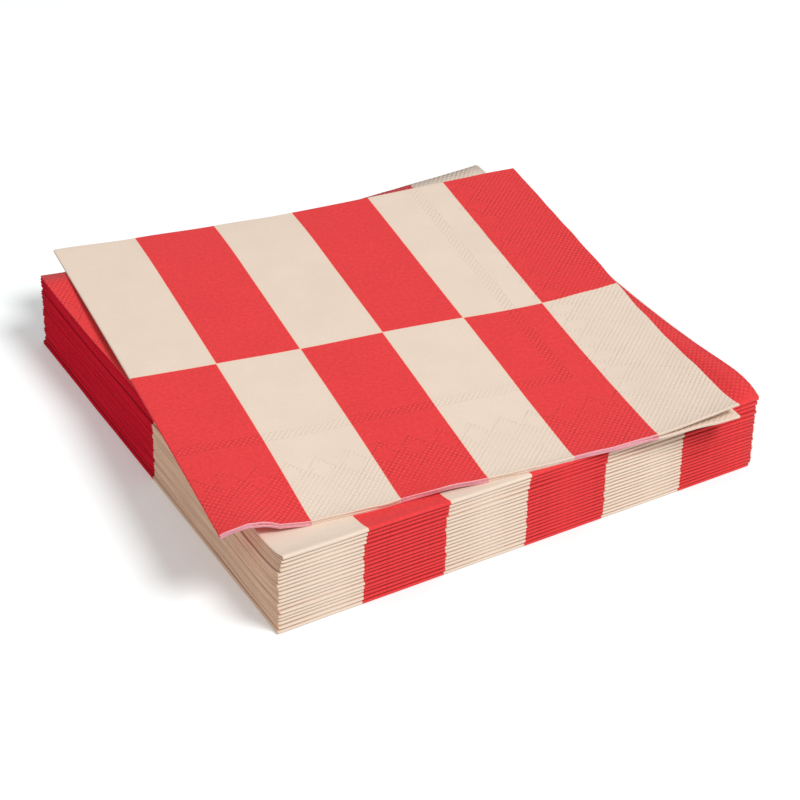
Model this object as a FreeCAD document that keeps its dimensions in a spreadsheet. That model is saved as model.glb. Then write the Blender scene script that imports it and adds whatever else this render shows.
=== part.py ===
import FreeCAD, Part
import math
import os

import Sketcher
from FreeCAD import Placement, Rotation, Vector

# A pile of printed paper napkins with one loose napkin on top. Each napkin is one square sheet of tissue,
# pressed in half and then rolled in half again. Millimetres, +Z up, origin at the middle of the pile's
# underside. In the pile the first fold is on the left (-X) and the second fold at the front (-Y).

DIMENSIONS = {
    # one sheet of tissue, laid flat
    "sheet_width": 328.0,
    "sheet_depth": 330.0,
    "tissue": 0.2,
    # room between the four layers: at the first fold, at the cut edges opposite it, inside the second fold,
    # and at the cut edges opposite that
    "crease_gap": 0.16,
    "edge_gap": 0.05,
    "roll_gap": 0.28,
    "open_gap": 0.05,
    # first fold: a blunt crease, and how far into the sheet its wedge runs outside and inside
    "crease_tip": 0.14,
    "crease_depth": 1.2,
    "crease_inside": 0.9,
    # how much further the inner layer reaches at the cut edge
    "edge_creep": 0.7,
    # the pile, and how well it is squared up
    "napkins": 20,
    "air": 0.02,
    "stray": 0.3,
    "stray_turn": 0.1,
    "upper_napkins": 3,
    "upper_turn": 0.45,
    "bottom_slip": 0.8,
    # the loose napkin, turned over: where its front left corner lies, and how far its edges stand up
    "loose_turn": -7.3,
    "loose_left": 10.6,
    "loose_back": 14.8,
    "corner_lift": 4.6,
    "corner_lift_below": 0.7,
    "corner_reach": 76.0,
    "side_lift": 1.3,
    "side_reach": 60.0,
}

doc = FreeCAD.newDocument("NapkinPile")
sizes = doc.addObject("Spreadsheet::Sheet", "sizes")
for row, (alias, size) in enumerate(DIMENSIONS.items(), start=1):
    sizes.set(f"A{row}", alias)
    sizes.set(f"B{row}", str(size))
    sizes.setAlias(f"B{row}", alias)
doc.recompute()

# Expressions on the sheet that the pieces share. A napkin is drawn about its own middle plane: the second
# fold rolls round its X axis, the first fold is at x = 0 and the cut edges are at the far ends.
WIDTH = "sizes.sheet_width / 2"
OUTER = f"({WIDTH} - sizes.edge_creep)"
RADIUS = "(2 * sizes.tissue + sizes.crease_gap + sizes.roll_gap / 2)"
DEPTH = f"(sizes.sheet_depth / 2 - {RADIUS})"
PITCH = f"(2 * {RADIUS} + sizes.air)"
FALL_RIGHT = f"(2 * (sizes.crease_gap - sizes.edge_gap) / ({OUTER} - sizes.crease_depth))"
FALL_BACK = f"((sizes.roll_gap - sizes.open_gap) / {DEPTH})"
CLOSING = f"atan({FALL_BACK} / 2)"

# Two points nearer than this are one.
TOUCHING = 1e-6


def value(expression):
    """What an expression on the sheet comes to."""
    return float(sizes.evalExpression(expression))


def folded_edge():
    """Corners of one pressed half, seen from the front: two layers joined at the crease on the left."""
    inner = "sizes.roll_gap / 2"
    crease = f"{inner} + sizes.tissue + sizes.crease_gap / 2"
    return [
        ("sizes.crease_depth", inner),
        (WIDTH, inner),
        (WIDTH, f"{inner} + sizes.tissue"),
        ("sizes.crease_inside", f"{inner} + sizes.tissue"),
        ("sizes.crease_inside", f"{inner} + sizes.tissue + sizes.crease_gap"),
        (OUTER, f"{inner} + sizes.tissue + sizes.edge_gap"),
        (OUTER, f"{inner} + 2 * sizes.tissue + sizes.edge_gap"),
        ("sizes.crease_depth", RADIUS),
        ("0", f"{crease} + sizes.crease_tip / 2"),
        ("0", f"{crease} - sizes.crease_tip / 2"),
    ]


def origin_plane(body, role):
    return next(f for f in body.Origin.OriginFeatures if f.Role == role)


def swept_edge(start, end):
    """A straight edge to be rolled round a fold. One that tapers is a straight spline, which sweeps a
    smooth surface with few facets, where a line would sweep a long thin cone with thousands."""
    if abs(start.x - end.x) < TOUCHING or abs(start.z - end.z) + abs(start.y - end.y) < TOUCHING:
        return Part.LineSegment(start, end)
    spline = Part.BSplineCurve()
    spline.buildFromPolesMultsKnots([start, end], [2, 2], [0.0, start.distanceToPoint(end)], False, 1)
    return spline


def pinned_outline(sketch, corners, edge):
    """A closed outline whose every corner is held to the sheet by its two distances from the origin."""
    places = [Vector(value(x), value(z), 0) for x, z in corners]
    count = len(places)
    for i in range(count):
        sketch.addGeometry(edge(places[i], places[(i + 1) % count]), False)
    for i in range(count):
        sketch.addConstraint(Sketcher.Constraint("Coincident", i, 2, (i + 1) % count, 1))
    for i, (x, z) in enumerate(corners):
        if x == "0":
            sketch.addConstraint(Sketcher.Constraint("PointOnObject", i, 1, -2))
        else:
            across = sketch.addConstraint(Sketcher.Constraint("DistanceX", -1, 1, i, 1, places[i].x))
            sketch.setExpression(f"Constraints[{across}]", x)
        if z == "0":
            sketch.addConstraint(Sketcher.Constraint("PointOnObject", i, 1, -1))
        else:
            up = sketch.addConstraint(Sketcher.Constraint("DistanceY", -1, 1, i, 1, places[i].y))
            sketch.setExpression(f"Constraints[{up}]", z)


def outline_on(body, name, plane, corners, edge):
    sketch = body.newObject("Sketcher::SketchObject", name)
    sketch.AttachmentSupport = (origin_plane(body, plane), [""])
    sketch.MapMode = "FlatFace"
    pinned_outline(sketch, corners, edge)
    sketch.Visibility = False
    return sketch


def folded_napkin(name):
    """A napkin of the pile. The second fold turns the pressed half over, a little past half a turn, so the
    two legs close up towards the back. It is rolled as a full ring from the back, and the ring is then
    opened between the legs."""
    body = doc.addObject("PartDesign::Body", name)
    body.Label = name

    fold = body.newObject("PartDesign::Revolution", name + "_fold")
    fold.Profile = outline_on(body, name + "_fold_section", "XY_Plane", folded_edge(), swept_edge)
    fold.ReferenceAxis = (fold.Profile[0], ["H_Axis"])
    fold.Angle = 360

    top, lean = f"2 * {RADIUS}", f"{FALL_BACK} * {RADIUS}"
    between_legs = [("0", "0"), (lean, top), (top, top), (top, f"-1 * {top}"), (lean, f"-1 * {top}")]
    opening = body.newObject("PartDesign::Pocket", name + "_opening")
    opening.Profile = outline_on(body, name + "_opening_section", "YZ_Plane", between_legs, Part.LineSegment)
    opening.Type = 1
    opening.Midplane = True

    leg = body.newObject("PartDesign::Pad", name + "_leg")
    leg.Profile = outline_on(body, name + "_leg_section", "XZ_Plane", folded_edge(), Part.LineSegment)
    lean_back = f"placement(vector(0; 0; 0); rotation(0; 0; -1 * {CLOSING}))"
    leg.Profile[0].setExpression("AttachmentOffset", lean_back)
    leg.Reversed = True
    leg.setExpression("Length", DEPTH)

    other_leg = body.newObject("PartDesign::Mirrored", name + "_other_leg")
    other_leg.Originals = [leg]
    other_leg.MirrorPlane = (origin_plane(body, "XY_Plane"), [""])
    body.Tip = other_leg
    return body


def squared_up(level):
    """How the hand that made the pile left one napkin: its slip to the right and back, and its turn."""
    slip = f"sizes.stray * {math.sin(2.3 * level):.3f}"
    back = f"sizes.stray * {0.6 * math.cos(1.7 * level):.3f}"
    turn = f"sizes.stray_turn * {math.sin(1.3 * level + 0.5):.3f}"
    above = level - (value("sizes.napkins") - value("sizes.upper_napkins"))
    if level == 1:
        slip += " - sizes.bottom_slip"
    if above >= 0:
        share = 1.0 if above else 0.6
        turn += f" + sizes.upper_turn * {share}"
        slip += f" + sin(sizes.upper_turn) * {DEPTH} / 2 * {share}"
        back += f" + sin(sizes.upper_turn) * {WIDTH} / 2 * {share}"
    return slip, back, turn


def stacked(body, level):
    """Lay a napkin at its level. The folds hold the front and the left of the pile up, so each napkin
    leans a little more to the right and the back than the one below it."""
    slip, back, turn = squared_up(level)
    middle = level - 0.5
    lean_right = f"atan({middle} * {FALL_RIGHT})"
    lean_back = f"atan({middle} * {FALL_BACK})"
    height = f"{middle} * ({PITCH} + {FALL_RIGHT} * sizes.crease_depth) - sizes.air / 2"
    corner = f"vector(-1 * {WIDTH} / 2; {RADIUS} - sizes.sheet_depth / 4; {height})"
    plane = f"placement({corner}; rotation(0; {lean_right}; -1 * {lean_back}))"
    centre = f"placement(vector({WIDTH} / 2 + {slip}; {DEPTH} / 2 + {back}; 0); rotation({turn}; 0; 0))"
    own_corner = f"placement(vector(-1 * {WIDTH} / 2; -1 * {DEPTH} / 2; 0); rotation(0; 0; 0))"
    body.setExpression("Placement", f"{plane} * {centre} * {own_corner}")


pieces = []
for level in range(1, int(value("sizes.napkins")) + 1):
    napkin = folded_napkin(f"napkin_{level:02d}")
    stacked(napkin, level)
    pieces.append(napkin)


# The loose napkin on top is the same folded sheet turned over, so its second fold is at the back and its
# corner with no fold is at the front right, where the upper half stands open. It is soft, so its sections
# are curves, and its own X and Y run along its front and left edges.
def eased(distance, reach):
    return max(0.0, 1.0 - distance / reach) ** 2


def lift(x, y, upper):
    """How far the loose napkin stands up off the flat at a point."""
    width, depth, reach = value(WIDTH), value(DEPTH), value("sizes.corner_reach")
    corner = value("sizes.corner_lift" if upper else "sizes.corner_lift_below")
    at_corner = corner * eased(width - x, reach) * eased(y, reach)
    at_side = value("sizes.side_lift") * eased(x, value("sizes.side_reach")) * math.sin(math.pi * y / depth)
    return at_corner + at_side


def loose_section(y, upper):
    """One pressed half of the loose napkin, cut across at y."""
    side = 1 if upper else -1
    closing = (value("sizes.roll_gap") - value("sizes.open_gap")) / 2 * (1 - y / value(DEPTH))
    corners = [(value(x), value(z) - closing) for x, z in folded_edge()]

    def placed(x, z):
        return Vector(x, y, side * z + lift(x, y, upper))

    edges = []
    for (x1, z1), (x2, z2) in zip(corners, corners[1:] + corners[:1]):
        steps = max(1, round(abs(x2 - x1) / value("sizes.corner_reach") * 2))
        stops = [i / steps for i in range(steps + 1)]
        through = [placed(x1 + (x2 - x1) * s, z1 + (z2 - z1) * s) for s in stops]
        if steps == 1:
            edges.append(swept_edge(*through).toShape())
        else:
            curve = Part.BSplineCurve()
            curve.interpolate(through)
            edges.append(curve.toShape())
    return Part.Wire(edges)


def loose_napkin(name):
    depth, reach = value(DEPTH), value("sizes.corner_reach")
    cuts = [0.0, reach / 4, reach / 2, reach, depth]
    legs = [Part.makeLoft([loose_section(y, upper) for y in cuts], True, True) for upper in (True, False)]
    at_fold = [Vector(value(x), depth, value(z)) for x, z in folded_edge()]
    edges = [swept_edge(start, end).toShape() for start, end in zip(at_fold, at_fold[1:] + at_fold[:1])]
    fold = Part.Face(Part.Wire(edges)).revolve(Vector(0, depth, 0), Vector(1, 0, 0), -180)
    napkin = doc.addObject("Part::Feature", name)
    napkin.Label = name
    napkin.Shape = legs[0].fuse([fold, legs[1]])
    return napkin


def leaning(lean_right, lean_back):
    return Rotation(0, math.degrees(math.atan(lean_right)), -math.degrees(math.atan(lean_back)))


def laid_on_top(napkin):
    """Lay the loose napkin flat on the top of the pile, turned as it was dropped."""
    count = value("sizes.napkins")
    fall_right, fall_back = value(FALL_RIGHT), value(FALL_BACK)
    at_crease = value(RADIUS) + fall_right / 2 * value("sizes.crease_depth")
    top_corner = Vector(-value(WIDTH) / 2, value(RADIUS) - value("sizes.sheet_depth") / 4, 0)
    top_corner.z = (count - 0.5) * 2 * at_crease + count * value("sizes.air") - value("sizes.air")
    top_corner += leaning((count - 0.5) * fall_right, (count - 0.5) * fall_back) * Vector(0, 0, at_crease)
    pile_top = Placement(top_corner, leaning(count * fall_right, count * fall_back))

    across = Vector(-value("sizes.loose_left"), value("sizes.loose_back") - value(RADIUS), value("sizes.air"))
    turned = Placement(across, Rotation(Vector(0, 0, 1), value("sizes.loose_turn")))
    underside = at_crease - fall_back / 2 * value(DEPTH)
    flat_down = Placement(Vector(0, 0, underside), leaning(fall_right / 2, -fall_back / 2))
    napkin.Placement = pile_top * turned * flat_down


loose = loose_napkin(f"napkin_{len(pieces) + 1:02d}")
laid_on_top(loose)
pieces.append(loose)

doc.recompute()

for part in doc.Objects:
    if "Invalid" in part.State or "Error" in part.State:
        raise RuntimeError(f"{part.Name} is {part.State}")
for piece in pieces:
    shape = piece.Shape
    if shape.isNull() or not shape.isValid() or len(shape.Solids) != 1 or shape.Volume <= 0:
        raise RuntimeError(f"{piece.Name} isn't one sound solid")

os.makedirs("parts", exist_ok=True)
for piece in pieces:
    piece.Shape.exportStep(f"parts/{piece.Label}.step")
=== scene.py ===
"""A pile of printed paper napkins with one loose napkin on top, built as the real ones are: flat sheets
of tissue, pressed in half and rolled in half again, and laid on each other."""

import math

import bmesh
import bpy
from mathutils import Matrix, Vector, noise


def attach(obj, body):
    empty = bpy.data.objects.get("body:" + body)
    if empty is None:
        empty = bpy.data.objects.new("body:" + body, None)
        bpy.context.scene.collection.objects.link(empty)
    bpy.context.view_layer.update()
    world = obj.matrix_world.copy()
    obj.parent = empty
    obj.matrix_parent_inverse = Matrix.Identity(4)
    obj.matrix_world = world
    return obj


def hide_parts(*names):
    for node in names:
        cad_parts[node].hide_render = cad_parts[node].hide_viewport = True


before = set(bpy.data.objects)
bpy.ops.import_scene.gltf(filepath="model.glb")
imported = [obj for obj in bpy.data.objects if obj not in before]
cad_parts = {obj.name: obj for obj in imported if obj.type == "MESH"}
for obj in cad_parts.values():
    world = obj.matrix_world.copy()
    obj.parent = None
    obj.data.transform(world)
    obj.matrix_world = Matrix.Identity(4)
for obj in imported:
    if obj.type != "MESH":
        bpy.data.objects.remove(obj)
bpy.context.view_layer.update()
napkin_nodes = sorted(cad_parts)
pile_nodes = napkin_nodes[:-1]
loose_node = napkin_nodes[-1]

MM = 0.001


# The tissue: three plies of soft white paper, pressed together. It is printed on the outside only, in a
# check of long oblongs, and rollers have pressed a border of small dots along its four cut edges.

SHEET_WIDTH = 328.0 * MM
SHEET_DEPTH = 330.0 * MM
TISSUE = 0.2 * MM
CHECK_ACROSS = 27.5 * MM
CHECK_ALONG = 82.5 * MM
BOUNDARY_REACH = 0.12 * MM
JUST_INSIDE = 0.01 * MM
PRINT_RED = "#E63F41"
PRINT_CREAM = "#E9D5C3"
PRINT_EDGE = "#F3C2AC"
# Painted bounce light: brighter, more saturated colours for the first folds, standing in for the light
# thrown between the red folds of the pile.
FOLD_RED_PAINTED_BOUNCE = "#E21834"
FOLD_CREAM_PAINTED_BOUNCE = "#F4D2B8"
BARE_TISSUE = "#F2E8DE"
EDGE_PINK = "#F0A5B2"
EDGE_CREAM = "#EBD6C4"
# Painted shade: a dark red and a dark brown painted down in the grooves of the pile, where shade falls.
PAINTED_GROOVE_SHADE_RED = "#74020E"
PAINTED_GROOVE_SHADE_CREAM = "#AE866A"
# A real fibre is about 0.03 mm thick, too fine to show, so the fibres are drawn as coarse as FIBRE. The
# ink is uneven in flecks and in wide clouds, and the dots are shallower in some of the clouds.
FIBRE = 0.35 * MM
FIBRE_HEIGHT = 0.05 * MM
FLECK = 1.2 * MM
CLOUD = 14.0 * MM
WRINKLE_WIDTH = 26.0 * MM
WRINKLE_LENGTH = 120.0 * MM
WRINKLE_PLACES = 40.0 * MM
WRINKLE_HEIGHT = 0.035 * MM
# The pressed dots, the row of plain diamonds in their border, and the narrow ladder of dots further in.
DOTS_ACROSS = 1.85 * MM
DOTS_ALONG = 2.05 * MM
DOTS_MEAN = 0.46
DOT_HEIGHT = 0.15 * MM
DOTS_START = 1.0 * MM
DOTS_FULL = 3.5 * MM
PATCH_PITCH = 9.8 * MM
PATCH_DEPTH = 13.2 * MM
PATCH_FROM_EDGE = 22.0 * MM
PATCH_INSIDE = 0.42
PATCH_LINE = 0.16
LADDER_SIDE = 35.5 * MM
LADDER_FRONT = 39.0 * MM
LADDER_ROWS = 4.0 * MM
MATT = 0.92
BARE_MATT = 0.95
SHINE = 0.15
SHEEN = 0.06


def linear(hex_colour):
    """An sRGB hex value as linear red, green, blue and alpha."""
    parts = [int(hex_colour[i : i + 2], 16) / 255 for i in (1, 3, 5)]
    return [c / 12.92 if c <= 0.04045 else ((c + 0.055) / 1.055) ** 2.4 for c in parts] + [1.0]


def add(tree, kind, *values, inputs=None, **settings):
    """Add a node with its settings. Its inputs, in order or by key, are values, sockets or other nodes."""
    node = tree.nodes.new("ShaderNode" + kind)
    for name, setting in settings.items():
        setattr(node, name, setting)
    for key, source in [*enumerate(values), *(inputs or {}).items()]:
        if isinstance(source, bpy.types.Node):
            source = source.outputs[0]
        if isinstance(source, bpy.types.NodeSocket):
            tree.links.new(source, node.inputs[key])
        else:
            node.inputs[key].default_value = source
    return node


def new_material(name):
    material = bpy.data.materials.new(name)
    material.use_nodes = True
    material.node_tree.nodes.clear()
    return material, material.node_tree


def sheet_distances(tree):
    """How far a point of the sheet is from its first and its second fold, kept just inside the edge."""
    flat = add(tree, "SeparateXYZ", add(tree, "UVMap", uv_map="sheet"))
    across = add(tree, "Math", flat.outputs[0], operation="ABSOLUTE")
    along = add(tree, "Math", flat.outputs[1], operation="ABSOLUTE")
    across = add(tree, "Math", across, SHEET_WIDTH / 2 - JUST_INSIDE, operation="MINIMUM")
    along = add(tree, "Math", along, SHEET_DEPTH / 2 - JUST_INSIDE, operation="MINIMUM")
    return across, along


def check_field(tree, across, along):
    """1 in the red oblongs and 0 in the cream ones."""
    columns = add(tree, "Math", across, CHECK_ACROSS, operation="DIVIDE")
    rows = add(tree, "Math", along, CHECK_ALONG, operation="DIVIDE")
    column = add(tree, "Math", columns, operation="FLOOR")
    row = add(tree, "Math", rows, operation="FLOOR")
    return add(tree, "Math", add(tree, "Math", column, row, operation="ADD"), 2.0, operation="MODULO")


def near_boundary(tree, distance, pitch):
    """1 on the thin pale line between two fields of the check, but not at the fold."""
    wrapped = add(tree, "Math", distance, pitch, operation="PINGPONG")
    to_fold_side = add(tree, "Math", wrapped, BOUNDARY_REACH, operation="LESS_THAN")
    to_far_side = add(tree, "Math", wrapped, pitch - BOUNDARY_REACH, operation="GREATER_THAN")
    either = add(tree, "Math", to_fold_side, to_far_side, operation="MAXIMUM")
    off_fold = add(tree, "Math", distance, pitch / 2, operation="GREATER_THAN")
    return add(tree, "Math", either, off_fold, operation="MULTIPLY")


def creased(tree, place):
    """1 on a few long faint wrinkles that wander along the sheet and die out."""
    scale = (1 / WRINKLE_WIDTH, 1 / WRINKLE_LENGTH, 1.0)
    stretched = add(tree, "Mapping", place, inputs={"Scale": scale})
    swelling = {"Vector": stretched, "Scale": 1.0, "Detail": 1.0, "Distortion": 0.3}
    swells = add(tree, "TexNoise", inputs=swelling)
    off_line = add(tree, "Math", swells, 0.56, operation="SUBTRACT")
    off_line = add(tree, "Math", off_line, operation="ABSOLUTE")
    wrinkle = add(tree, "MapRange", off_line, 0.0, 0.02, 1.0, 0.0)
    places = add(tree, "TexNoise", inputs={"Vector": place, "Scale": 1 / WRINKLE_PLACES, "Detail": 0.0})
    return add(tree, "Math", wrinkle, add(tree, "MapRange", places, 0.45, 0.6), operation="MULTIPLY")


def crossed_waves(tree, x, y, pitch_x, pitch_y):
    """Bumps set as a net of diamonds: 0 along the net's two sets of lines and 1 in the middle of each."""
    step_x = add(tree, "Math", x, pitch_x / math.pi, operation="DIVIDE")
    step_y = add(tree, "Math", y, pitch_y / math.pi, operation="DIVIDE")
    rising = add(tree, "Math", add(tree, "Math", step_x, step_y, operation="ADD"), operation="SINE")
    falling = add(tree, "Math", add(tree, "Math", step_x, step_y, operation="SUBTRACT"), operation="SINE")
    return add(tree, "Math", add(tree, "Math", rising, falling, operation="MULTIPLY"), operation="ABSOLUTE")


def border(tree, inward, lengthwise, ladder_at, clear_of_corner):
    """Where one edge has dots: out to a zigzag, but not in a row of plain diamonds, and on a ladder."""
    from_row = add(tree, "Math", inward, PATCH_FROM_EDGE - PATCH_DEPTH / 2, operation="SUBTRACT")
    diamonds = crossed_waves(tree, from_row, lengthwise, PATCH_DEPTH, PATCH_PITCH)
    off_row = add(tree, "Math", inward, PATCH_FROM_EDGE, operation="SUBTRACT")
    off_row = add(tree, "Math", off_row, operation="ABSOLUTE")
    swing = add(tree, "Math", lengthwise, PATCH_PITCH / 2, operation="PINGPONG")
    swing = add(tree, "Math", swing, PATCH_PITCH / 2, operation="DIVIDE")
    furthest = PATCH_FROM_EDGE + PATCH_DEPTH / 2
    zigzag = add(tree, "Math", swing, -PATCH_DEPTH / 2, furthest, operation="MULTIPLY_ADD")
    dotted = add(tree, "Math", inward, zigzag, operation="LESS_THAN")
    in_patch = add(tree, "Math", diamonds, PATCH_INSIDE, operation="GREATER_THAN")
    in_row = add(tree, "Math", off_row, PATCH_DEPTH / 4, operation="LESS_THAN")
    plain = add(tree, "Math", in_patch, in_row, operation="MULTIPLY")
    on_line = add(tree, "Math", diamonds, PATCH_LINE, operation="LESS_THAN")
    strength = add(tree, "Math", on_line, 0.35, 0.8, operation="MULTIPLY_ADD")
    field = add(tree, "Math", dotted, plain, operation="SUBTRACT")
    field = add(tree, "Math", field, strength, operation="MULTIPLY")
    up_ladder = add(tree, "Math", inward, ladder_at, operation="SUBTRACT")
    past = add(tree, "Math", up_ladder, 0.0, operation="GREATER_THAN")
    before = add(tree, "Math", up_ladder, LADDER_ROWS, operation="LESS_THAN")
    in_ladder = add(tree, "Math", past, before, operation="MULTIPLY")
    in_ladder = add(tree, "Math", in_ladder, clear_of_corner, operation="MULTIPLY")
    return add(tree, "Math", field, in_ladder, operation="MAXIMUM")


def embossed(tree, across, along):
    """How the rollers moved the sheet along its cut edges: from -0.46 between their dots to 0.54 on them."""
    from_side = add(tree, "Math", SHEET_WIDTH / 2, across, operation="SUBTRACT")
    from_end = add(tree, "Math", SHEET_DEPTH / 2, along, operation="SUBTRACT")
    waves = crossed_waves(tree, across, along, DOTS_ACROSS, DOTS_ALONG)
    dots = add(tree, "Math", waves, DOTS_MEAN, operation="SUBTRACT")
    past_end_ladder = add(tree, "Math", from_end, LADDER_FRONT, operation="GREATER_THAN")
    past_side_ladder = add(tree, "Math", from_side, LADDER_SIDE, operation="GREATER_THAN")
    side = border(tree, from_side, along, LADDER_SIDE, past_end_ladder)
    end = border(tree, from_end, across, LADDER_FRONT, past_side_ladder)
    either = add(tree, "Math", side, end, operation="MAXIMUM")
    off_roll = add(tree, "MapRange", along, DOTS_START, DOTS_FULL)
    shown = add(tree, "Math", off_roll, either, operation="MULTIPLY")
    return add(tree, "Math", dots, shown, operation="MULTIPLY")


def make_print():
    """Soft tissue paper with matt ink. Fine bump and mottle read as fibres, and the pressed dots get a bump
    with a painted highlight on them and painted shade between them.
    On the sharp first folds of the pile the ink is painted brighter and more saturated, a painted red bounce
    light, and down in the grooves of the pile it is painted darker, a painted shade."""
    material, tree = new_material("printed_tissue")
    across, along = sheet_distances(tree)
    place = add(tree, "UVMap", uv_map="sheet")
    fibres = {"Vector": place, "Scale": 1 / FIBRE, "Detail": 3.0, "Roughness": 0.6}
    fibres = add(tree, "TexNoise", inputs=fibres)
    flecks = {"Vector": place, "Scale": 1 / FLECK, "Detail": 3.0, "Roughness": 0.7}
    flecks = add(tree, "TexNoise", inputs=flecks)
    clouds = add(tree, "TexNoise", inputs={"Vector": place, "Scale": 1 / CLOUD, "Detail": 2.0})

    red = check_field(tree, across, along)
    line_across = near_boundary(tree, across, CHECK_ACROSS)
    line_along = near_boundary(tree, along, CHECK_ALONG)
    line = add(tree, "Math", line_across, line_along, operation="MAXIMUM")
    field = {0: red, 6: linear(PRINT_CREAM), 7: linear(PRINT_RED)}
    field = add(tree, "Mix", inputs=field, data_type="RGBA").outputs[2]
    lined = {0: line, 6: field, 7: linear(PRINT_EDGE)}
    lined = add(tree, "Mix", inputs=lined, data_type="RGBA").outputs[2]

    # Painted bounce light: on the first folds of the covered napkins the colour is mixed towards a brighter,
    # more saturated one.
    near_fold = add(tree, "MapRange", across, 0.3 * MM, 0.7 * MM, 1.0, 0.0)
    stacked = add(tree, "Attribute", attribute_name="stacked").outputs["Fac"]
    on_fold = add(tree, "Math", near_fold, stacked, operation="MULTIPLY")
    fold_painted_bounce = {0: red, 6: linear(FOLD_CREAM_PAINTED_BOUNCE), 7: linear(FOLD_RED_PAINTED_BOUNCE)}
    fold_painted_bounce = add(tree, "Mix", inputs=fold_painted_bounce, data_type="RGBA").outputs[2]
    folded = add(tree, "Mix", inputs={0: on_fold, 6: lined, 7: fold_painted_bounce}, data_type="RGBA").outputs[2]

    mottle = add(tree, "MapRange", fibres, 0.35, 0.65, 0.97, 1.03)
    spread = add(tree, "Math", red, 0.5, 0.1, operation="MULTIPLY_ADD")
    patchy = add(tree, "Math", flecks, 0.5, operation="SUBTRACT")
    patchy = add(tree, "Math", patchy, spread, 1.0, operation="MULTIPLY_ADD")
    drift = add(tree, "MapRange", clouds, 0.3, 0.7, 0.98, 1.02)
    uneven = add(tree, "Math", mottle, patchy, operation="MULTIPLY")
    uneven = add(tree, "Math", uneven, drift, operation="MULTIPLY")
    ink_and_fold_bounce = {0: 1.0, 6: folded, 7: uneven}
    ink_and_fold_bounce = add(tree, "Mix", inputs=ink_and_fold_bounce, data_type="RGBA", blend_type="MULTIPLY").outputs[2]

    held = add(tree, "MapRange", clouds, 0.35, 0.65, 0.5, 1.2)
    held = add(tree, "Math", held, on_fold, operation="SUBTRACT")
    relief = add(tree, "Math", embossed(tree, across, along), held, operation="MULTIPLY")
    # Painted highlight and painted shade on the dots: the colour is made lighter on the raised dots and
    # darker between them, much more on the red than on the cream.
    dot_light_strength = add(tree, "Math", red, 0.38, 0.1, operation="MULTIPLY_ADD")
    painted_dot_light = add(tree, "Math", relief, dot_light_strength, 1.0, operation="MULTIPLY_ADD")
    dotted = {0: 1.0, 6: ink_and_fold_bounce, 7: painted_dot_light}
    dotted = add(tree, "Mix", inputs=dotted, data_type="RGBA", blend_type="MULTIPLY").outputs[2]

    # Painted shade: down in the grooves between the folds the colour is mixed towards a dark red or brown,
    # as strongly as an attribute of the pile's napkins asks.
    down_side = add(tree, "MapRange", across, 0.06 * MM, 0.36 * MM)
    down_front = add(tree, "MapRange", along, 0.3 * MM, 0.85 * MM)
    down = add(tree, "Math", down_side, down_front, operation="MINIMUM")
    painted_groove_shade_weight = add(tree, "Attribute", attribute_name="painted_groove_shade_weight").outputs["Fac"]
    groove_shade_share = add(tree, "Math", down, painted_groove_shade_weight, operation="MULTIPLY")
    groove_shade_colour = {0: red, 6: linear(PAINTED_GROOVE_SHADE_CREAM), 7: linear(PAINTED_GROOVE_SHADE_RED)}
    groove_shade_colour = add(tree, "Mix", inputs=groove_shade_colour, data_type="RGBA").outputs[2]
    colour = add(tree, "Mix", inputs={0: groove_shade_share, 6: dotted, 7: groove_shade_colour}, data_type="RGBA").outputs[2]

    height = add(tree, "Math", fibres, FIBRE_HEIGHT, operation="MULTIPLY")
    height = add(tree, "Math", relief, DOT_HEIGHT, height, operation="MULTIPLY_ADD")
    height = add(tree, "Math", creased(tree, place), WRINKLE_HEIGHT, height, operation="MULTIPLY_ADD")
    bump = add(tree, "Bump", inputs={"Strength": 1.0, "Distance": 1.0, "Height": height})
    haze = add(tree, "Math", on_fold, -SHEEN, SHEEN, operation="MULTIPLY_ADD")
    finish = {"Base Color": colour, "Roughness": MATT, "Normal": bump, "Sheen Weight": haze}
    paper = add(tree, "BsdfPrincipled", inputs={**finish, "Specular IOR Level": SHINE})
    add(tree, "OutputMaterial", paper)
    return material


def make_bare():
    """The unprinted inside of the sheet: white, matt and a little mottled by its fibres."""
    material, tree = new_material("bare_tissue")
    place = add(tree, "TexCoord").outputs["Object"]
    fibres = add(tree, "TexNoise", inputs={"Vector": place, "Scale": 1 / FIBRE, "Detail": 3.0})
    shade = add(tree, "MapRange", fibres, 0.3, 0.7, 0.96, 1.02)
    colour = {0: 1.0, 6: linear(BARE_TISSUE), 7: shade}
    colour = add(tree, "Mix", inputs=colour, data_type="RGBA", blend_type="MULTIPLY").outputs[2]
    paper = add(tree, "BsdfPrincipled", inputs={"Base Color": colour, "Roughness": BARE_MATT})
    add(tree, "OutputMaterial", paper)
    return material


def make_cut_edge():
    """The cut edge of the plies: fluffy, and stained by the ink, pale pink where the print is red."""
    material, tree = new_material("cut_plies")
    across, along = sheet_distances(tree)
    colour = {0: check_field(tree, across, along), 6: linear(EDGE_CREAM), 7: linear(EDGE_PINK)}
    colour = add(tree, "Mix", inputs=colour, data_type="RGBA").outputs[2]
    paper = add(tree, "BsdfPrincipled", inputs={"Base Color": colour, "Roughness": BARE_MATT})
    add(tree, "OutputMaterial", paper)
    return material


tissue_materials = [make_print(), make_bare(), make_cut_edge()]


# The pile: twenty napkins, each pressed in half at the left and rolled in half at the front. The folds
# hold those two sides up, so the pile is lower at the right and lowest at the back right.

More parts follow.
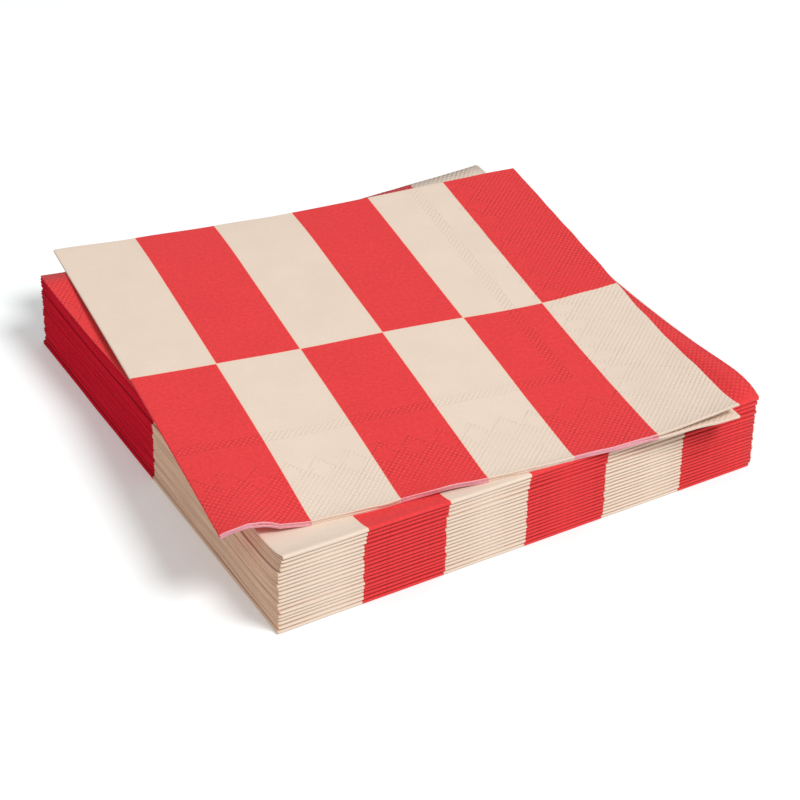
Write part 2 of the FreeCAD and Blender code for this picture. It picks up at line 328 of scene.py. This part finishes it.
PILE_COUNT = len(pile_nodes)
HEIGHT_FRONT_LEFT = 28.2 * MM
HEIGHT_FRONT_RIGHT = 24.3 * MM
HEIGHT_BACK_LEFT = 24.3 * MM
HEIGHT_BACK_RIGHT = 19.2 * MM
HALF_WIDTH = SHEET_WIDTH / 2
HALF_DEPTH = SHEET_DEPTH / 2
AIR = 0.01 * MM
ROLL_RADIUS = 0.7 * MM
CREASE_DEPTH = 1.2 * MM
EDGE_CREEP = 0.7 * MM
STRAY = 0.14 * MM
STRAY_TURN = math.radians(0.1)
UPPER_NAPKINS = 3
UPPER_TURN = math.radians(0.45)
BOTTOM_SLIP = 0.8 * MM
LEG = HALF_DEPTH - ROLL_RADIUS
# How deep the top sinks behind the front folds (twice that at the left), in the middle and at the back.
SINK_FRONT = 1.4 * MM
SINK_FRONT_STARTS = 5.5 * MM
SINK_FRONT_REACH = 38.0 * MM
SINK_MIDDLE = 1.3 * MM
SINK_MIDDLE_X = 48.0 * MM
SINK_MIDDLE_REACH = 26.0 * MM
SINK_BACK = 1.7 * MM
# How the top napkins puff up at the open right edge and curl up at the back left corner.
PUFF = 4.8 * MM
PUFF_REACH = 24.0 * MM
PUFF_BEHIND = 12.5 * MM
PUFFED_NAPKINS = 4
CURL = 2.2 * MM
CURL_REACH_X = 34.0 * MM
CURL_REACH_Y = 40.0 * MM
CURLED_NAPKINS = 9
# Where the front folds are pressed flatter: place and half width in mm, and how flat.
FLAT_BANDS = ((-66, 8, 0.9), (-13, 7, 1.0), (15, 7, 0.8), (46, 4, 0.9), (76, 12, 0.6))
# How far the edges and the folds of the layers wander, and how long the waves are.
SHORT_WAVE = 9.0 * MM
CUT_EDGE_STRAY = 0.22 * MM
FOLD_STRAY = 0.16 * MM
BACK_EDGE_STRAY = 0.3 * MM
ROLL_STRAY = 0.12 * MM


def wander(seed, *place, size=20 * MM):
    """Smooth seeded noise between -1 and 1, whose swells are about size across."""
    return noise.noise(Vector([p / size for p in place] + [0.0] * (2 - len(place)) + [seed * 7.31]))


def pile_height(x, y):
    """The height of the pile's top over a point of the floor, before the tissue's own waves."""
    right = x / SHEET_WIDTH * 2 + 0.5
    back = y / SHEET_DEPTH * 2 + 0.5
    front_height = HEIGHT_FRONT_LEFT + (HEIGHT_FRONT_RIGHT - HEIGHT_FRONT_LEFT) * right
    back_height = HEIGHT_BACK_LEFT + (HEIGHT_BACK_RIGHT - HEIGHT_BACK_LEFT) * right
    return front_height + (back_height - front_height) * back


def sunk(x, y):
    """How far the pile's top sinks behind its front folds, in the middle of its right half and behind."""
    behind = max(0.0, y + HALF_DEPTH / 2)
    backwards = min(1.0, behind / HALF_DEPTH)
    left = min(1.0, max(0.0, 0.5 - x / SHEET_WIDTH * 2))
    off_middle = (x - SINK_MIDDLE_X) / SINK_MIDDLE_REACH
    at_front = (1 - math.exp(-behind / SINK_FRONT_STARTS)) * math.exp(-((behind / SINK_FRONT_REACH) ** 2))
    in_middle = math.exp(-(off_middle**2)) * math.sin(math.pi * backwards)
    at_back = backwards**5 * math.sin(math.pi * left)
    return SINK_FRONT * (1 + left) * at_front + SINK_MIDDLE * in_middle + SINK_BACK * at_back


def puffed(x, y):
    """How far the open right edges of the top napkins stand up near the front fold that joins them."""
    behind = max(0.0, y + HALF_DEPTH / 2) / PUFF_BEHIND
    inward = max(0.0, HALF_WIDTH / 2 - x) / PUFF_REACH
    return PUFF * max(0.0, 1 - inward) ** 2 * behind * math.exp(1 - behind)


def curled(x, y):
    """How far the back left corners of the top napkins curl up."""
    inward = max(0.0, x + HALF_WIDTH / 2) / CURL_REACH_X
    forward = max(0.0, HALF_DEPTH / 2 - y) / CURL_REACH_Y
    return CURL * max(0.0, 1 - inward) ** 2 * max(0.0, 1 - forward) ** 2


def between(level, x, y):
    """The height at which one napkin lies on the next, over a point of the floor."""
    if level == 0:
        return 0.0
    swell = 0.07 * MM * wander(level, x, y, size=16 * MM)
    swell += 0.12 * MM * wander(level + 40, x, y, size=60 * MM)
    height = level / PILE_COUNT * (pile_height(x, y) - sunk(x, y)) + swell * min(1.0, level / 4)
    height += puffed(x, y) * max(0.0, (level - PILE_COUNT + PUFFED_NAPKINS) / PUFFED_NAPKINS) ** 2
    return height + curled(x, y) * max(0.0, (level - PILE_COUNT + CURLED_NAPKINS) / CURLED_NAPKINS)


def flattened(x):
    """How flat the front folds are pressed, from 0 to 1, in bands that run down through the whole pile."""
    return min(1.0, sum(flat * math.exp(-(((x / MM - at) / wide) ** 2)) for at, wide, flat in FLAT_BANDS))


def squared_up(level):
    """How the hand that made the pile left one napkin: its slip to the right and back, and its turn."""
    slip = STRAY * math.sin(2.3 * level)
    back = STRAY * 0.6 * math.cos(1.7 * level)
    turn = STRAY_TURN * math.sin(1.3 * level + 0.5)
    above = level - (PILE_COUNT - UPPER_NAPKINS)
    if level == 1:
        slip -= BOTTOM_SLIP
    if above >= 0:
        share = 1.0 if above else 0.6
        turn += UPPER_TURN * share
        slip += math.sin(UPPER_TURN) * LEG / 2 * share
        back += math.sin(UPPER_TURN) * HALF_WIDTH / 2 * share
    return slip, back, turn


def stops(near_fold, length, pitch, near_edge=()):
    """Where a grid's lines lie on a sheet: crowded at its fold, evenly spread, and as asked at its edges."""
    end = length - near_edge[0] if near_edge else length
    count = round((end - near_fold[-1]) / pitch)
    spread = [near_fold[-1] + (end - near_fold[-1]) * i / count for i in range(1, count + 1)]
    one_side = near_fold + spread + [length - e for e in near_edge[1:]]
    return [-s for s in reversed(one_side[1:])] + one_side


def flat_sheet(across, along):
    """A flat sheet as a grid, with its own flat coordinates kept on it as its UV map."""
    bm = bmesh.new()
    columns, rows = len(across) - 1, len(along) - 1
    bmesh.ops.create_grid(bm, x_segments=columns, y_segments=rows, size=1.0)
    for vert in bm.verts:
        column = round((vert.co.x + 1) / 2 * columns)
        row = round((vert.co.y + 1) / 2 * rows)
        vert.co = Vector((across[column], along[row], 0.0))
    layer = bm.loops.layers.uv.new("sheet")
    for face in bm.faces:
        face.smooth = True
        for loop in face.loops:
            loop[layer].uv = loop.vert.co.xy
    return bm


def pressed(distance, outer_side, room):
    """The first fold: how far a point this far from it lies off the middle plane of the napkin."""
    free = room - 2 * TISSUE
    inner = TISSUE / 2 + 0.48 * free
    outer = room - TISSUE / 2
    crease = (inner + outer) / 2
    reach = min(1.0, distance / CREASE_DEPTH)
    bulge = math.sqrt(1 - (1 - reach) ** 2)
    return crease + (outer - crease if outer_side else inner - crease) * bulge


def rolled(along):
    """The second fold: how much of its quarter turn is left at a point, and how far along the leg it is."""
    quarter_roll = NEAR_ROLL[-1]
    angle = math.pi / 2 * (1 - min(1.0, along / quarter_roll))
    leg = max(0.0, along - quarter_roll) * LEG / (HALF_DEPTH - quarter_roll)
    return angle, leg


def finish_sheet(bm, name, node, at_cut_edge=1.0):
    """Give the folded sheet its thickness and its three finishes, and put it in its node's place."""
    mesh = bpy.data.meshes.new(name)
    bm.to_mesh(mesh)
    bm.free()
    for material in tissue_materials:
        mesh.materials.append(material)
    piece = bpy.data.objects.new(name, mesh)
    bpy.context.scene.collection.objects.link(piece)
    plies = piece.modifiers.new("plies", "SOLIDIFY")
    plies.thickness = TISSUE * at_cut_edge
    plies.offset = 0.0
    if at_cut_edge != 1.0:
        plies.vertex_group = piece.vertex_groups.new(name="cut_edge").name
        plies.thickness_vertex_group = 1 / at_cut_edge
    plies.material_offset = 1
    plies.material_offset_rim = 2
    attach(piece, "root")
    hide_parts(node)
    return piece


NEAR_CREASE = [x * MM for x in (0.0, 0.04, 0.15, 0.36, 0.7, 1.2)]
NEAR_ROLL = [ROLL_RADIUS * math.pi / 2 * i / 5 for i in range(6)]
BEHIND_ROLL = [y * MM for y in (2.6, 5.0, 8.5, 13.0)]
pile_across = stops(NEAR_CREASE, HALF_WIDTH, 4.6 * MM)
pile_along = stops(NEAR_ROLL + BEHIND_ROLL, HALF_DEPTH, 7.0 * MM)


def fold_into_pile(vert, level):
    """Move a point of the flat sheet to its place in one napkin of the pile."""
    across, along = abs(vert.co.x), abs(vert.co.y)
    outer_side, upper = vert.co.x >= 0, 1 if vert.co.y >= 0 else -1
    angle, leg = rolled(along)
    layer = level * 4 + (0 if outer_side else 1) + (0 if upper > 0 else 2)
    end_across = across / HALF_WIDTH
    end_along = leg / LEG
    x = across - (EDGE_CREEP * end_across if outer_side else 0.0)
    x += CUT_EDGE_STRAY * wander(layer, leg, size=SHORT_WAVE) * end_across**8
    x += FOLD_STRAY * wander(layer + 300, leg, size=22 * MM) * (1 - end_across) ** 12
    y = leg + BACK_EDGE_STRAY * wander(layer + 600, across, size=SHORT_WAVE) * end_along**8
    slip, back, turn = squared_up(level)
    from_centre = Vector((x - HALF_WIDTH / 2, y - LEG / 2)) @ Matrix.Rotation(-turn, 2)
    plan_x = from_centre.x + slip
    plan_y = from_centre.y + LEG / 2 - HALF_DEPTH / 2 + ROLL_RADIUS + back
    low, high = between(level - 1, plan_x, plan_y), between(level, plan_x, plan_y)
    room = (high - low) / 2 - AIR
    height = pressed(across, outer_side, room)
    stick_out = 1.05 + 0.2 * wander(level + 80, across, size=30 * MM)
    squareness = flattened(plan_x) * (0.75 + 0.5 * wander(level + 160, across, size=SHORT_WAVE))
    plan_y -= height * math.sin(angle) ** (1 - 0.6 * squareness) * stick_out
    plan_y -= ROLL_STRAY * wander(level + 120, across, size=24 * MM) * (1 - end_along) ** 8
    vert.co = Vector((plan_x, plan_y, (low + high) / 2 + upper * height * math.cos(angle)))


below = None
for level, node in enumerate(pile_nodes, start=1):
    bm = flat_sheet(pile_across, pile_along)
    stacked = bm.verts.layers.float.new("stacked")
    painted_groove_shade_weight = bm.verts.layers.float.new("painted_groove_shade_weight")
    for vert in bm.verts:
        # The top napkin's upper half lies open to the light. All the rest is covered by the next layer.
        covered = level < PILE_COUNT or vert.co.y < 0.1 * MM
        on_outside = vert.co.x >= 0
        # The first folds of covered napkins get the painted bounce colour.
        vert[stacked] = 1.0 if covered else 0.0
        fold_into_pile(vert, level)
        # How strong the painted groove shade is: on the outside of a covered napkin less where its front
        # fold is pressed flat, none on the open upper half of the top napkin, and 0.9 on every inner side.
        if on_outside:
            vert[painted_groove_shade_weight] = 0.66 - 0.45 * flattened(vert.co.x) if covered else 0.0
        else:
            vert[painted_groove_shade_weight] = 0.9
    below = finish_sheet(bm, f"folded_napkin_{level:02d}", node)


# The loose napkin: the same folded sheet turned over, dropped a little askew on the pile. Its folds are
# at the left and the back. The corner with no fold, at the front right, stands open.

LOOSE_TURN = math.radians(-7.3)
LOOSE_LEFT = 10.6 * MM
LOOSE_BACK = 14.8 * MM
LOOSE_CREEP = 0.15 * MM
LOOSE_ROOM_AT_FOLD = 0.5 * MM
LOOSE_ROOM_AT_EDGE = 0.46 * MM
CORNER_LIFT = 4.6 * MM
CORNER_REACH = 76.0 * MM
CORNER_OPEN = 3.2 * MM
CORNER_OPEN_X = 34.0 * MM
CORNER_OPEN_Y = 48.0 * MM
CORNER_SLIP = 1.3 * MM
CORNER_SLIP_REACH = 30.0 * MM
SIDE_LIFT = 1.3 * MM
SIDE_REACH = 60.0 * MM
SIDE_WAVE = 0.8 * MM
SIDE_WAVE_REACH = 24.0 * MM
# The cut edge is fluffed up to this many times its thickness, and the layers part a little behind it.
FLUFF = 2.2
FLUFF_REACH = 6.0 * MM
FLUFF_ROOM = 0.22 * MM
FLUFFY_RIM = 1.8 * MM
# How the soft sheet rides up and sinks along its front edge, its middle and its back edge, by the
# distance from its left edge, all in mm, and how far the front's and the back's ways reach.
RIDE_FRONT = ((0, 0.4), (2.6, 1.3), (8.3, 2.1), (13, 1.3), (19, -0.9), (28, -2.1), (42, -3.0),
              (55, -1.5), (70, -0.5), (82, -1.0), (110, -0.9), (137, -1.0), (155, 0.2), (164, 1.0))
RIDE_MIDDLE = ((0, 0.5), (28, 0.4), (55, 0.0), (82, -0.5), (110, -1.1), (137, -1.4), (155, -0.3),
               (164, 0.4))
RIDE_BACK = ((0, 0.8), (28, -0.4), (55, -1.2), (82, -1.8), (110, -1.6), (137, -1.7), (164, -0.4))
RIDE_FRONT_REACH = 70.0 * MM
RIDE_BACK_REACH = 26.0 * MM


def eased(distance, reach):
    """1 at a line, and less and less away from it, to 0 at its reach."""
    return max(0.0, 1.0 - distance / reach) ** 2


def along_table(table, distance):
    """A smooth curve through a table's heights, in metres."""
    at = distance / MM
    for (x1, z1), (x2, z2) in zip(table, table[1:]):
        if at <= x2:
            share = min(1.0, max(0.0, (at - x1) / (x2 - x1)))
            return (z1 + (z2 - z1) * share * share * (3 - 2 * share)) * MM
    return table[-1][1] * MM


def loose_lift(x, y, upper):
    """How far the loose napkin stands up off the flat at a point, from its own front left corner."""
    lift = CORNER_LIFT * eased(HALF_WIDTH - x, CORNER_REACH) * eased(y, CORNER_REACH)
    lift += SIDE_LIFT * eased(x, SIDE_REACH) * math.sin(math.pi * min(max(y / LEG, 0.0), 1.0))
    at_front = eased(y, RIDE_FRONT_REACH)
    at_back = eased(LEG - y, RIDE_BACK_REACH)
    lift += along_table(RIDE_FRONT, x) * at_front + along_table(RIDE_BACK, x) * at_back
    lift += along_table(RIDE_MIDDLE, x) * (1 - at_front - at_back)
    lift += SIDE_WAVE * wander(81, y, size=21 * MM) * eased(HALF_WIDTH - x, SIDE_WAVE_REACH)
    if not upper:
        lift -= CORNER_OPEN * eased(HALF_WIDTH - x, CORNER_OPEN_X) ** 0.75 * eased(y, CORNER_OPEN_Y)
        lift -= 0.25 * MM * max(0.0, wander(77, x, size=18 * MM)) * eased(y, 16 * MM)
    return lift


def fold_loose(vert, cut_edge):
    """Move a point of the flat sheet to its place in the loose napkin."""
    across, along = abs(vert.co.x), abs(vert.co.y)
    outer_side, upper = vert.co.x >= 0, vert.co.y >= 0
    vert[cut_edge][0] = eased(HALF_DEPTH - along, FLUFFY_RIM)
    angle, leg = rolled(along)
    layer = 900 if upper else 901
    end_across, end_along = across / HALF_WIDTH, leg / LEG
    x = across - (LOOSE_CREEP * end_across if outer_side else 0.0)
    x += 0.3 * MM * wander(layer, leg, size=SHORT_WAVE) * end_across**8
    y = LEG - leg + 0.4 * MM * wander(layer + 10, across, size=SHORT_WAVE) * end_along**8
    if not upper:
        y -= CORNER_SLIP * eased(HALF_WIDTH - across, CORNER_SLIP_REACH) ** 0.5 * end_along**2
    share = (1 - x / HALF_WIDTH) * 0.5 + y / LEG * 0.5
    room = LOOSE_ROOM_AT_EDGE + (LOOSE_ROOM_AT_FOLD - LOOSE_ROOM_AT_EDGE) * share
    room += FLUFF_ROOM * eased(HALF_DEPTH - along, FLUFF_REACH)
    height = pressed(across, outer_side, room)
    own_y = y + height * math.sin(angle)
    plan = Vector((x, own_y)) @ Matrix.Rotation(-LOOSE_TURN, 2)
    plan_x = plan.x - HALF_WIDTH / 2 - LOOSE_LEFT
    plan_y = plan.y - HALF_DEPTH / 2 + LOOSE_BACK
    pile_top = between(PILE_COUNT, plan_x, plan_y)
    flat = pile_height(plan_x, plan_y)
    lower = max(flat + loose_lift(x, y, False), pile_top) + AIR
    if upper:
        lower = max(flat + loose_lift(x, y, True) + AIR, lower)
    side = height * math.cos(angle) * (1 if upper else -1)
    vert.co = Vector((plan_x, plan_y, lower + room + side))


near_cut_edge = [e * MM for e in (3.0, 1.5, 0.6, 0.0)]
loose_across = stops(NEAR_CREASE, HALF_WIDTH, 2.4 * MM, near_cut_edge)
loose_along = stops(NEAR_ROLL, HALF_DEPTH, 2.4 * MM, near_cut_edge)
bm = flat_sheet(loose_across, loose_along)
cut_edge = bm.verts.layers.deform.verify()
for vert in bm.verts:
    fold_loose(vert, cut_edge)
bmesh.ops.reverse_faces(bm, faces=bm.faces)
finish_sheet(bm, "loose_napkin", loose_node, at_cut_edge=FLUFF)


# The table, the light and the camera: a white floor, a large soft lamp at the front right, a weak
# reflector at the left and a pale sky. For the camera alone the floor glows a little and the sky is
# brighter, so that the background stays white without lighting the napkins.

FLOOR_SIZE = 4.0
FLOOR_COLOUR = "#F1F6F6"
FLOOR_GLOW = 0.17
WHITE = "#FFFFFF"
SKY_LIGHT = 0.45
SKY_SEEN = 1.0
CAMERA_AZIMUTH = -29.9
CAMERA_ELEVATION = 36.2
CAMERA_ROLL = math.radians(0.7)
CAMERA_DISTANCE = 892.7 * MM
CAMERA_LENS = 126.5
CAMERA_TARGET = Vector((3.7 * MM, -0.6 * MM, 0.0))
SENSOR = 36.0


def make_floor():
    bm = bmesh.new()
    bmesh.ops.create_grid(bm, x_segments=1, y_segments=1, size=FLOOR_SIZE / 2)
    mesh = bpy.data.meshes.new("floor")
    bm.to_mesh(mesh)
    bm.free()
    material, tree = new_material("white_floor")
    white = add(tree, "BsdfDiffuse", inputs={"Color": linear(FLOOR_COLOUR)})
    glow = add(tree, "Emission", inputs={"Color": linear(WHITE), "Strength": FLOOR_GLOW})
    no_glow = add(tree, "Emission", inputs={"Strength": 0.0})
    seen = add(tree, "LightPath").outputs["Is Camera Ray"]
    only_seen = add(tree, "MixShader", seen, no_glow, glow)
    add(tree, "OutputMaterial", add(tree, "AddShader", white, only_seen))
    mesh.materials.append(material)
    floor = bpy.data.objects.new("floor", mesh)
    bpy.context.scene.collection.objects.link(floor)


def direction(azimuth, elevation):
    """The way from the pile to a lamp or the camera, by degrees to the right of the front and up."""
    a, e = math.radians(azimuth), math.radians(elevation)
    return Vector((math.sin(a) * math.cos(e), -math.cos(a) * math.cos(e), math.sin(e)))


def make_lamp(name, azimuth, elevation, distance, size, power):
    lamp = bpy.data.lights.new(name, "AREA")
    lamp.shape = "DISK"
    lamp.size = size
    lamp.energy = power
    holder = bpy.data.objects.new(name, lamp)
    back = direction(azimuth, elevation)
    holder.location = back * distance
    holder.rotation_mode = "QUATERNION"
    holder.rotation_quaternion = back.to_track_quat("Z", "Y")
    bpy.context.scene.collection.objects.link(holder)


make_floor()
make_lamp("window", azimuth=30.0, elevation=55.0, distance=3.0, size=1.12, power=62.0)
make_lamp("reflector", azimuth=-80.0, elevation=12.0, distance=1.2, size=0.8, power=1.5)

world = bpy.data.worlds.new("sky")
world.use_nodes = True
sky = world.node_tree.nodes["Background"]
sky.inputs["Color"].default_value = linear(WHITE)
seen = add(world.node_tree, "LightPath").outputs["Is Camera Ray"]
strength = add(world.node_tree, "MapRange", seen, 0.0, 1.0, SKY_LIGHT, SKY_SEEN).outputs[0]
world.node_tree.links.new(strength, sky.inputs["Strength"])
bpy.context.scene.world = world

back = direction(CAMERA_AZIMUTH, CAMERA_ELEVATION)
level_right = (-back).cross(Vector((0, 0, 1))).normalized()
level_up = level_right.cross(-back)
right = level_right * math.cos(CAMERA_ROLL) + level_up * math.sin(CAMERA_ROLL)
up = level_up * math.cos(CAMERA_ROLL) - level_right * math.sin(CAMERA_ROLL)
camera = bpy.data.cameras.new("camera")
camera.sensor_width = SENSOR
camera.lens = CAMERA_LENS
camera.clip_start = 0.01
holder = bpy.data.objects.new("camera", camera)
turned = Matrix((right, up, back)).transposed().to_4x4()
holder.matrix_world = Matrix.Translation(CAMERA_TARGET + back * CAMERA_DISTANCE) @ turned
bpy.context.scene.collection.objects.link(holder)
bpy.context.scene.camera = holder
bpy.context.scene.view_settings.view_transform = "Standard"
